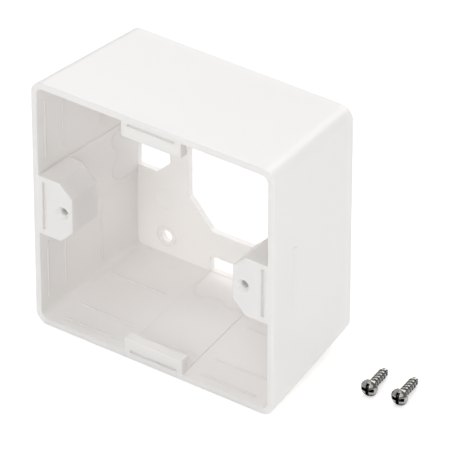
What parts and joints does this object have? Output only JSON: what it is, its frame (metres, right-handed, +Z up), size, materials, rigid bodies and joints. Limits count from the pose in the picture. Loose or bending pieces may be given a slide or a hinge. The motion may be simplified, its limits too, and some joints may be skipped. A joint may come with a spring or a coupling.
{
  "type": "surface mount jack box",
  "caption": "Square open-fronted moulded plastic surface mount back box for a jack faceplate, with screw blocks, clip lugs, trunking knock-outs and loose faceplate screws.",
  "frame": {"origin": "centre of the four wall fixing holes, on the outer face of the back plate", "axes": "+Y out of the back towards the wall it is fixed to, so the open front faces -Y; +Z up; +X to the right seen from the front"},
  "size_m": [0.1071, 0.042, 0.08],
  "materials": {
    "moulded_plastic": "satin warm white moulded ABS",
    "plated_steel": "bright nickel plate"
  },
  "bodies": {
    "root": {"box": "moulded_plastic", "screw_left": "plated_steel", "screw_right": "plated_steel"}
  },
  "joints": []
}
